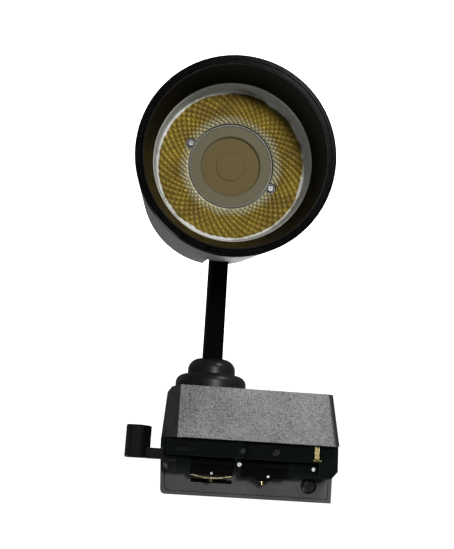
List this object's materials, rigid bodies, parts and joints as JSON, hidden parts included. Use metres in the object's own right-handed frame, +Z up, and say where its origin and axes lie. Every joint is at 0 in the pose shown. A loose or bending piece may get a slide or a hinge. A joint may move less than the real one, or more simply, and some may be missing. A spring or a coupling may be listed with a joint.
{
  "type": "track spotlight",
  "caption": "Black cylinder spotlight with a recessed faceted optic on a flat swivel arm, hung from a long track adapter box with an end locking lever.",
  "frame": {"origin": "on the swivel axis, in the plane where the adapter box meets the underside of the track", "axes": "+Z up into the track, X along the track with the locking lever at +X, the beam leaves toward -Y at rest"},
  "size_m": [0.1108, 0.1456, 0.2209],
  "materials": {
    "textured_plastic": "fine spark-eroded grain",
    "smooth_plastic": "satin",
    "lever_plastic": "satin",
    "insert_plastic": "satin",
    "carrier_plastic": "satin",
    "plate_plastic": "fine grain",
    "black_screw": "black oxide",
    "brass": "bare",
    "white_nylon": "natural",
    "circuit_board": "lacquered",
    "copper_coil": "taped coil",
    "capacitor_can": "sleeved",
    "steel": "zinc plated",
    "arm_paint": "satin powder coat",
    "head_paint": "satin powder coat",
    "bezel_paint": "satin",
    "baffle_plastic": "smooth",
    "silicone": "translucent",
    "optic_plastic": "metallised facets",
    "lens_cover": "frosted",
    "holder_plastic": "moulded",
    "ceramic_board": "white",
    "phosphor": "silicone over phosphor",
    "bare_aluminium": "extruded"
  },
  "bodies": {
    "adapter": {"adapter_housing": "textured_plastic", "end_cap": "smooth_plastic", "collar_base": "smooth_plastic", "insert_base": "insert_plastic", "insert_back": "plate_plastic", "contact_liner": "carrier_plastic", "insert_plate": "plate_plastic", "plate_screw": "black_screw", "cheek_screws": "black_screw", "post_pin": "steel", "earth_contact": "brass", "terminal_block": "white_nylon", "driver_board": "circuit_board", "driver_transformer": "copper_coil", "driver_capacitor": "capacitor_can"},
    "lock_rotor": {"rotor_shaft": "steel", "rotor_barrels": "insert_plastic", "live_carrier": "carrier_plastic", "neutral_carrier": "carrier_plastic", "live_contact": "brass", "neutral_contact": "brass", "carrier_rivets": "steel", "lock_lever": "lever_plastic"},
    "arm": {"arm_bar": "arm_paint", "friction_washers": "white_nylon", "swivel_cap": "arm_paint", "swivel_tube": "steel", "wave_washer": "steel", "swivel_nut": "steel"},
    "head": {"head_housing": "head_paint", "front_bezel": "bezel_paint", "anti_glare_baffle": "baffle_plastic", "lens_gasket": "silicone", "reflector": "optic_plastic", "centre_lens": "lens_cover", "cob_holder": "holder_plastic", "holder_screws": "steel", "cob_board": "ceramic_board", "cob_led": "phosphor", "heat_sink": "bare_aluminium", "rear_cap": "head_paint", "rear_cap_screws": "black_screw", "pivot_bracket": "steel", "bracket_screws": "steel", "tilt_bolt": "steel", "tilt_nut": "steel"}
  },
  "joints": [
    {"name": "lock_turn", "type": "hinge", "parent": "adapter", "child": "lock_rotor", "pos_m": [0, -0.0036, 0.0115], "axis": [1, 0, 0], "range_deg": [0, 90]},
    {"name": "pan", "type": "hinge", "parent": "adapter", "child": "arm", "pos_m": [0, 0, -0.03], "axis": [0, 0, 1], "range_deg": [-170, 170]},
    {"name": "tilt", "type": "hinge", "parent": "arm", "child": "head", "pos_m": [0, 0, -0.14], "axis": [1, 0, 0], "range_deg": [0, 103]}
  ]
}
